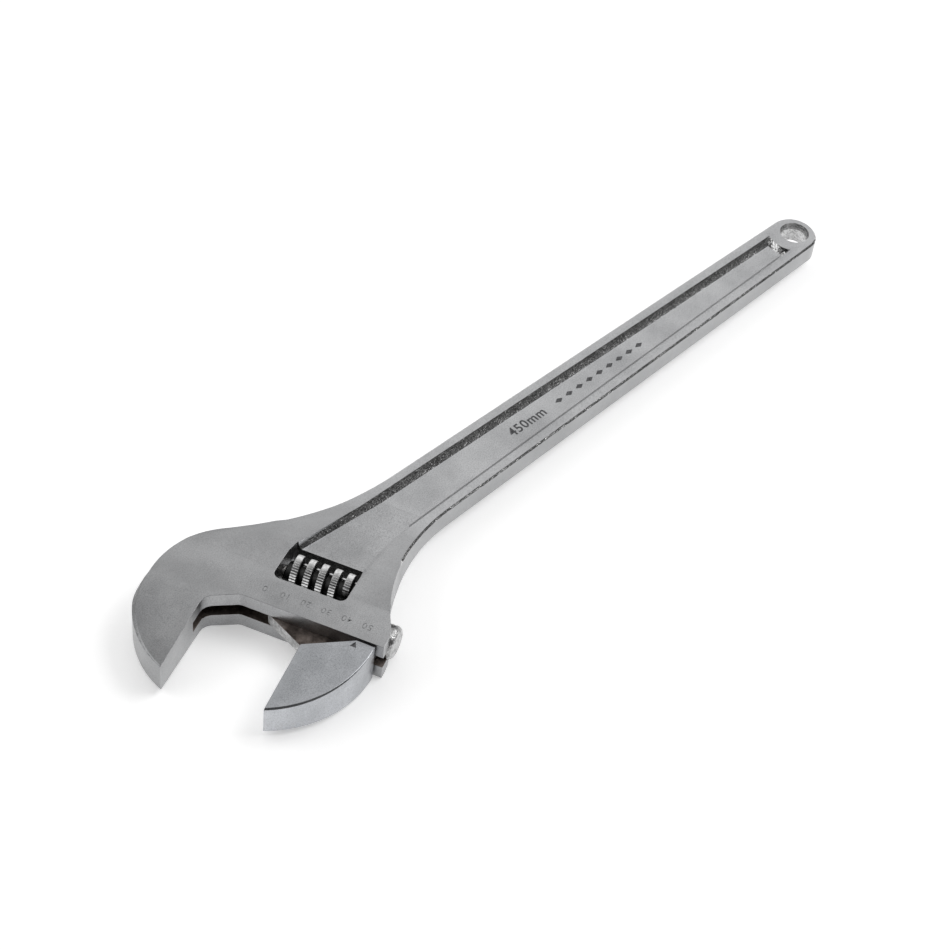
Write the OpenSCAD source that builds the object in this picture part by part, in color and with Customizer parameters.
// Adjustable wrench, 450 mm class, chrome plated.
// The origin is the centre of the hanging hole at mid-thickness. +X runs along the handle,
// from the head to the hanging hole, and +Z points out of the marked face.
// The head has a frame of its own, turned by the jaw angle. In it, x is the distance from the
// fixed jaw's face towards the movable jaw, and y is the distance from the edge of the cheeks
// towards the handle, so that the jaws point along -y.

/* [Jaws] */
// Opening between the jaw faces in the rest pose
jaw_opening = 50; // [0.1:0.1:55]
// Angle between the handle and the jaw faces, in degrees
jaw_angle = 22.5; // [22:0.1:23]
// Reach of the fixed jaw past the edge of the cheeks
jaw_reach = 49.9; // [49.7:0.1:50.2]
// Thickness of the jaws at their tips
tip_thickness = 16.8; // [16:0.1:19]

/* [Head] */
// Position of the head's own origin along the handle
head_x = -394.36; // [-395:0.01:-394]
// Sideways offset of the head's own origin
head_y = 20.04; // [19.8:0.01:20.3]
// Thickness of the ground head faces
head_thickness = 22; // [21.5:0.1:22.5]
// Length of the cheeks, from the fixed jaw's face to their open end
cheek_length = 84.2; // [84:0.1:84.5]
// Width of the flat ground band along the cheeks
ground_band = 19.7; // [19:0.1:20]

/* [Handle] */
// Thickness of the handle's rims
handle_thickness = 12; // [11.5:0.1:12.5]
// Half of the handle's width at the hanging hole
handle_half_width = 12.5; // [12.4:0.1:12.6]
// Thickness of the web between the two panels
panel_web = 5.2; // [4.6:0.1:6]
// Width of the rims beside the panels, at the hanging hole
rim_width = 5.4; // [5:0.1:6]

/* [Hanging hole] */
// Radius of the straight stretch of the hole
hang_r = 7; // [6.8:0.1:7.2]
// Length of the straight stretch of the hole
hang_straight = 5; // [4:0.1:6]
// Radius of the hole's mouth on both faces
hang_mouth_r = 7.8; // [7.6:0.1:8]

/* [Slide and rack] */
// Radius of the round slide
slide_r = 8; // [7.9:0.1:8.1]
// Radial clearance of the slide in its bore
slide_gap = 0.08; // [0.05:0.01:0.1]
// Thickness of the web that joins the jaw to the slide
web_thickness = 6.4; // [6:0.1:6.6]
// Clearance on each side of the web in its slot
web_gap = 0.1; // [0.05:0.01:0.15]

/* [Worm] */
// Advance of the jaw for one turn of the worm
lead = 6.35; // [6.3:0.05:6.4]
// Outer radius of the worm's ridge
worm_r = 10.2; // [10.1:0.1:10.3]
// Radius of the worm's core
core_r = 6.4; // [6.2:0.1:6.5]
// Radius of the pin's shank
pin_r = 2.5; // [2.4:0.1:2.6]

/* [Hidden] */
$fn = 96;
steel = [0.72, 0.73, 0.74];
bright_steel = [0.80, 0.81, 0.82];
dark_steel = [0.40, 0.40, 0.41];
half_head = head_thickness / 2;
half_handle = handle_thickness / 2;
half_tip = tip_thickness / 2;
past = 1; // how far a cut runs past the surface it opens
beyond = 500; // farther than any part of the wrench
reference_opening = 50; // opening at which the worm and the rack are drawn in mesh

// Back of the fixed jaw: the neck's arc swells to the jaw's wider arc round the same centre,
// and a sloping shoulder brings both faces back to the first radius
back_x = 17.55;
back_y = -4.1;
back_r = 45.7;
jaw_back_r = norm([back_x, jaw_reach + back_y]);
jaw_back_end = 360 - acos(-back_x / jaw_back_r);
swell_from = 180;
swell_to = 203;
swell_step = 1.5;
shoulder_height = 3;
shoulder_r = back_r + 0.2;

// The head thins along a straight slope, then a concave arc meets the handle's rims
blend_r = 120;
blend_end = 78;
blend_angle = 5.5;

// The jaws thin towards their tips along a straight slope
taper_start = -4;
taper_slope = (half_head - half_tip) / (jaw_reach + taper_start);

// Neck: the two large arcs that join the head to the handle
neck_top = [-281.14, 181.32];
neck_top_r = 164.6;
neck_low = [-278.76, -110.57];
neck_low_r = 93.9;
handle_taper = 0.0149;
end_x = -1.2;

// Throat between the fixed jaw and the cheeks, and the blunt open end of the cheeks
throat = [[0, -12], [0.3, -9.8], [1.3, -7.9], [3, -6.3], [8.4, -3.3], [13.6, -0.4], [15, 0]];
cheek_end = [[cheek_length, 0], [cheek_length, 4], [cheek_length - 0.3, 7.6]];
cheek_corner = [82.9, 10.9];

// Window of the worm
window_start = 22.4;
window_end = 58;
window_low = 15.8;
window_high = 40.6;
window_corner = 3.2;
window_side = 15; // straight stretch of the end walls, which the worm bears on
window_lean_start = 1.2;
window_lean_end = 0.6;

// Panels sunk into both sides of the handle
panel_taper = 0.0168;
panel_lean = 40;
panel_lip = 0.3; // the leaning walls turn upright this far outside their edge at the rim
panel_end_r = 14.4;
panel_end_lean = 30;
floor_z = panel_web / 2;
floor_rise = 2;
floor_flat_from = 85;
flare_centre = [-299, -113.9];
flare_r = 102;
flare_to = 116;
flare_back_x = -352;
flare_inner_y = -6;

// Slot and bore that guide the movable jaw
slide_y = 12.5;
slot_half = web_thickness / 2 + web_gap;
slot_back = [-24.4, 1];
slot_root = [0, -18.4];
slot_top = -19;
slot_drop = 0.8;
bore_start = -17.6;

// Movable jaw, drawn where the opening is zero
block_centre = [-23.9, -2.5];
block_r = 54.3;
block_edge = -1.4;
block_edge_start = 21.8;
block_root = -13.6;
bevel_centre = [-24.8, 2];
bevel_r = 57.9;
web_front = [-22.5, 1];
web_root = -10.2;
web_end = 29.4;
web_lap = 3; // how far the web runs into the jaw block
slide_start = -16.8;
slide_end = 36;
slide_nose = 2.8;
slide_rim = 0.8;
rack_flat = 7.7;
index_x = 21.5;
index_y = -2.4;
index_size = 3;
index_depth = 0.4;

// Worm: it fills the window but for the spring's gap
worm_y = 28.2;
worm_start = window_start + 2.2;
worm_end = window_end - 0.2;
crest_half = 1.6;
crest_round = 0.4;
flank = 0.5;
knurl = 0.5;
thread_step = 9;
thread_from = -45;
thread_to = 360 * 4 + 144;
thread_ramp = 36;
thread_zero = 27.5;
mesh_gap = 0.2;
ridge_sink = 0.2;
ridge_least = 0.04;
lead_angle = atan(lead / (2 * PI * (worm_r - flank)));
pin_gap = 0.08;
pocket_r = 4.4;
pocket_depth = 4;

// Pin
pin_start = 15.4;
pin_head_start = 69;
pin_end = 74.2;
pin_head_r = 3.4;
pin_slot_width = 1;
pin_slot_depth = 1.3;
pin_fit = 0.05;
pin_end_gap = 0.2;

// Spring
wire_r = 0.4;
coil_r = 3.45;
coil_turns = 4;
coil_step = 15;
wire_sides = 8;
coil_room = 0.1;
coil_start = window_start + wire_r + coil_room;
coil_end = worm_start + pocket_depth - wire_r - coil_room;

function direction(v) = atan2(v[1], v[0]);

function half_width(x) = handle_half_width - handle_taper * x;

function arc(centre, r, from, to, step = 3) =
    let (n = max(1, round(abs(to - from) / step)))
    [for (i = [0:n]) let (a = from + (to - from) * i / n) centre + r * [cos(a), sin(a)]];

// A point of the head's frame, in the object's own frame
function from_head(p) = [
    head_x + p[0] * sin(jaw_angle) + p[1] * cos(jaw_angle),
    head_y - p[0] * cos(jaw_angle) + p[1] * sin(jaw_angle)
];

// Puts its children in the head's frame
module at_head() {
    translate([head_x, head_y, 0])
        rotate([0, 0, jaw_angle - 90])
            children();
}

// Turns a solid made along z to lie along the head's x, at a height above the cheeks' edge
module along_slide(y) {
    translate([0, y, 0])
        rotate([0, 90, 0])
            children();
}

// Runs a side view, of distance from the cheeks' edge and height, across the whole head
module across_head() {
    translate([beyond / 2, 0, 0])
        rotate([0, -90, 0])
            linear_extrude(height = beyond)
                rotate([0, 0, 90])
                    mirror([0, 1])
                        children();
}

// Upper outline of the side view of the head and handle
function side_top() = concat(
    [[taper_start - 2 * jaw_reach, half_head - 2 * jaw_reach * taper_slope]],
    [[taper_start, half_head], [ground_band, half_head]],
    [for (i = [6:-1:0]) let (a = blend_angle * i / 6)
        [blend_end - blend_r * sin(a), half_handle + blend_r * (1 - cos(a))]],
    [[beyond, half_handle]]
);

module side_view() {
    top = side_top();
    last = len(top) - 1;
    polygon(concat(top, [for (i = [last:-1:0]) [top[i][0], -top[i][1]]]));
}

// The swell of the fixed jaw's back, from the neck's arc to the tip
function swell(centre, turn) = [for (a = [swell_from + swell_step:swell_step:jaw_back_end])
    let (t = min(1, (a - swell_from) / (swell_to - swell_from)))
    centre + (back_r + (jaw_back_r - back_r) * t * t * (3 - 2 * t)) * [cos(a + turn), sin(a + turn)]];

// The whole plan: round end, upper side, neck, back of the fixed jaw, throat, cheeks, lower neck
module plan() {
    taper = atan(handle_taper);
    turn = jaw_angle - 90;
    back = from_head([back_x, back_y]);
    neck_angle = direction(back - neck_top);
    polygon(concat(
        arc([end_x, 0], half_width(end_x), -90 - taper, 90 + taper, 5),
        arc(neck_top, neck_top_r, -90 - taper, neck_angle, 2),
        arc(back, back_r, neck_angle + 180, turn + swell_from),
        swell(back, turn),
        [for (p = concat(throat, cheek_end)) from_head(p)],
        arc(neck_low, neck_low_r, direction(from_head(cheek_corner) - neck_low), 90 + taper, 2)
    ));
}

// What is cut away above the sloping shoulder of the fixed jaw
module above_shoulder() {
    slope = (jaw_back_r - shoulder_r) / shoulder_height;
    low = half_head - shoulder_height;
    rotate_extrude() polygon([
        [jaw_back_r + past, low - past / slope],
        [jaw_back_r + past, half_head + past],
        [shoulder_r - past * slope, half_head + past]
    ]);
}

module blank() {
    difference() {
        intersection() {
            linear_extrude(height = head_thickness + 2 * past, center = true) plan();
            at_head() across_head() side_view();
        }
        at_head() for (side = [0, 1]) intersection() {
            translate([back_x, back_y, 0]) mirror([0, 0, side]) above_shoulder();
            translate([-beyond, -beyond, -half_head]) cube([beyond, beyond + back_y, head_thickness]);
        }
    }
}

// Window of the worm, through the whole head
module window() {
    r = window_corner;
    low = window_low + r;
    linear_extrude(height = head_thickness + 2 * past, center = true)
        polygon(concat(
            [[window_start + window_lean_start, window_high], [window_start, low + window_side]],
            arc([window_start + r, low], r, 180, 270, 15),
            arc([window_end - r, low], r, 270, 360, 15),
            [[window_end, low + window_side], [window_end - window_lean_end, window_high]]
        ));
}

// Everything on the handle's side of one long wall of the panel. The wall leans outwards.
module beside_wall() {
    top = half_head + past;
    behind = 4 * handle_half_width;
    wall = function (z) (z - half_handle) * tan(panel_lean);
    translate([0, handle_half_width - rim_width, 0])
        rotate([90, 0, -90 - atan(panel_taper)])
            linear_extrude(height = beyond)
                polygon([[behind, 0], [behind, top], [-wall(top), top], [-wall(0), 0]]);
}

// Straight stretch of the panel, between its two leaning walls
module panel_channel() {
    half = handle_half_width - rim_width + panel_lip;
    far = -head_x;
    intersection() {
        beside_wall();
        mirror([0, 1, 0]) beside_wall();
        linear_extrude(height = head_thickness)
            polygon([
                [0, half], [0, -half],
                [-far, -half - far * panel_taper], [-far, half + far * panel_taper]
            ]);
    }
}

// The panel widens towards the window on the side of the movable jaw
module panel_flare() {
    linear_extrude(height = head_thickness)
        polygon(concat(
            [[flare_centre[0], flare_inner_y]],
            arc(flare_centre, flare_r, 90, flare_to),
            [[flare_back_x, flare_inner_y]]
        ));
}

// One panel, above a floor that rises towards the window
module panel() {
    difference() {
        intersection() {
            union() {
                panel_channel();
                panel_flare();
            }
            at_head() across_head()
                polygon([
                    [window_high - past, floor_z + floor_rise], [floor_flat_from, floor_z],
                    [beyond, floor_z], [beyond, head_thickness], [window_high - past, head_thickness]
                ]);
        }
        cylinder(
            h = head_thickness,
            r1 = panel_end_r + half_handle * tan(panel_end_lean),
            r2 = panel_end_r - (head_thickness - half_handle) * tan(panel_end_lean)
        );
    }
}

module hanging_hole() {
    flare_h = half_handle - hang_straight / 2;
    cylinder(h = head_thickness, r = hang_r, center = true);
    for (side = [0, 1])
        mirror([0, 0, side])
            translate([0, 0, hang_straight / 2])
                cylinder(h = flare_h * 2, r1 = hang_r, r2 = hang_mouth_r * 2 - hang_r);
}

// Slot between the cheeks and round bore above it, open at the end of the cheeks
module guide() {
    open_end = cheek_length + slide_r;
    throat_corner = throat[4];
    linear_extrude(height = 2 * slot_half, center = true)
        polygon([
            slot_root, slot_back, [slot_top, slide_y], [open_end, slide_y],
            [open_end, -past], [throat_corner[0], throat_corner[1] - 2 * past],
            slot_root + [past, -slot_drop]
        ]);
    along_slide(slide_y)
        translate([0, 0, bore_start])
            cylinder(h = open_end - bore_start, r = slide_r + slide_gap);
}

module pin_holes() {
    along_slide(worm_y) {
        translate([0, 0, pin_start - pin_end_gap])
            cylinder(h = pin_end, r = pin_r + pin_fit);
        translate([0, 0, pin_head_start - pin_fit])
            cylinder(h = cheek_length - pin_head_start, r = pin_head_r + pin_fit);
    }
}

module body() {
    color(steel)
        difference() {
            blank();
            panel();
            mirror([0, 0, 1]) panel();
            hanging_hole();
            at_head() {
                window();
                guide();
                pin_holes();
            }
        }
}

module jaw_block() {
    cone_r = bevel_r + half_tip;
    cone_top = half_head + past;
    intersection() {
        linear_extrude(height = 2 * cone_top, center = true)
            intersection() {
                translate(block_centre) circle(r = block_r, $fn = 180);
                polygon([
                    [0, -beyond], [0, block_root], [block_edge_start, block_edge],
                    [block_r, block_edge], [block_r, -beyond]
                ]);
            }
        across_head() side_view();
        translate(bevel_centre)
            rotate_extrude($fn = 180)
                polygon([
                    [0, -cone_top], [cone_r - cone_top, -cone_top], [cone_r, 0],
                    [cone_r - cone_top, cone_top], [0, cone_top]
                ]);
    }
}

module jaw_web() {
    linear_extrude(height = web_thickness, center = true)
        polygon([
            [0, block_root - web_lap], [0, web_root], web_front, [slide_start + past, slide_y],
            [web_end, slide_y], [web_end, 0], [web_end - web_lap, -web_lap]
        ]);
}

module slide() {
    along_slide(slide_y)
        rotate_extrude()
            polygon(concat(
                [[0, slide_start], [slide_r - slide_rim, slide_start], [slide_r, slide_start + slide_rim]],
                arc([slide_r - slide_nose, slide_end - slide_nose], slide_nose, 0, 90, 15),
                [[0, slide_end]]
            ));
}

// Spaces between the rack's teeth, each as wide as the worm's ridge and its clearance
module rack_spaces() {
    low = worm_y - worm_r - mesh_gap;
    high = slide_y + slide_r + past;
    half = function (y) crest_half + mesh_gap + max(0, y - low - mesh_gap) / (worm_r - core_r) * flank;
    first = thread_zero + lead / 2 - reference_opening;
    count = floor((slide_end - first) / lead);
    for (i = [0:count])
        translate([first + i * lead, 0, 0])
            rotate([0, -lead_angle, 0])
                linear_extrude(height = 2 * (slide_r + past), center = true)
                    polygon([[-half(low), low], [half(low), low], [half(high), high], [-half(high), high]]);
}

module index_mark() {
    translate([index_x, index_y, half_head - index_depth])
        linear_extrude(height = 2 * index_depth)
            polygon([[0, 0], [-index_size / 2, -index_size], [index_size / 2, -index_size]]);
}

module movable_jaw() {
    color(steel)
        at_head() translate([jaw_opening, 0, 0])
            difference() {
                union() {
                    jaw_block();
                    jaw_web();
                    slide();
                }
                rack_spaces();
                translate([slide_start - past, slide_y + rack_flat, -slide_r])
                    cube([slide_end - slide_start + 2 * past, slide_r, 2 * slide_r]);
                index_mark();
            }
}

// Section of the worm's ridge, as distance along the axis and radius. Its foot is inside the core.
function ridge_section(grow, dip) =
    let (
        foot = core_r - ridge_sink,
        top = foot + (worm_r - foot) * grow,
        side = max((foot + top) / 2, top - crest_round)
    )
    [
        [-crest_half - flank, foot],
        [-crest_half, side],
        [-crest_half + crest_round, top - dip * grow],
        [crest_half - crest_round, top - dip * grow],
        [crest_half, side],
        [crest_half + flank, foot]
    ];

// The ridge: its height grows from nothing and fades again at its two ends
module ridge() {
    steps = (thread_to - thread_from) / thread_step;
    sides = 6;
    grow = function (a) max(ridge_least, min(1, min(a - thread_from, thread_to - a) / thread_ramp));
    points = [for (i = [0:steps])
        let (a = thread_from + i * thread_step)
        for (p = ridge_section(grow(a), i % 2 * knurl))
            [thread_zero + lead * a / 360 + p[0], p[1] * cos(a), p[1] * sin(a)]];
    faces = concat(
        [[for (j = [sides - 1:-1:0]) j]],
        [for (i = [0:steps - 1]) for (j = [0:sides - 1]) let (k = (j + 1) % sides)
            [i * sides + j, i * sides + k, (i + 1) * sides + k, (i + 1) * sides + j]],
        [[for (j = [0:sides - 1]) steps * sides + j]]
    );
    polyhedron(points = points, faces = faces, convexity = 10);
}

module worm() {
    spin = (reference_opening - jaw_opening) / lead * 360;
    color(bright_steel)
        at_head()
            difference() {
                union() {
                    along_slide(worm_y)
                        translate([0, 0, worm_start])
                            cylinder(h = worm_end - worm_start, r = core_r);
                    translate([0, worm_y, 0]) rotate([spin, 0, 0]) ridge();
                }
                along_slide(worm_y) {
                    cylinder(h = 2 * worm_end, r = pin_r + pin_gap);
                    translate([0, 0, worm_start - past])
                        cylinder(h = pocket_depth + past, r = pocket_r);
                }
            }
}

module worm_pin() {
    color(bright_steel)
        at_head()
            along_slide(worm_y)
                difference() {
                    union() {
                        translate([0, 0, pin_start])
                            cylinder(h = pin_head_start - pin_start + past, r = pin_r);
                        translate([0, 0, pin_head_start])
                            cylinder(h = pin_end - pin_head_start, r = pin_head_r);
                    }
                    translate([-pin_slot_width / 2, -pin_head_r - past, pin_end - pin_slot_depth])
                        cube([pin_slot_width, 2 * (pin_head_r + past), 2 * pin_slot_depth]);
                }
}

module worm_spring() {
    steps = coil_turns * 360 / coil_step;
    points = [for (i = [0:steps])
        let (a = i * coil_step, x = coil_start + (coil_end - coil_start) * i / steps)
        for (j = [0:wire_sides - 1])
            let (b = 360 * j / wire_sides, r = coil_r + wire_r * cos(b))
            [x + wire_r * sin(b), r * cos(a), r * sin(a)]];
    faces = concat(
        [[for (j = [wire_sides - 1:-1:0]) j]],
        [for (i = [0:steps - 1]) for (j = [0:wire_sides - 1]) let (k = (j + 1) % wire_sides)
            [i * wire_sides + j, i * wire_sides + k, (i + 1) * wire_sides + k, (i + 1) * wire_sides + j]],
        [[for (j = [0:wire_sides - 1]) steps * wire_sides + j]]
    );
    color(dark_steel)
        at_head() translate([0, worm_y, 0])
            polyhedron(points = points, faces = faces, convexity = 10);
}

body();
movable_jaw();
worm();
worm_pin();
worm_spring();
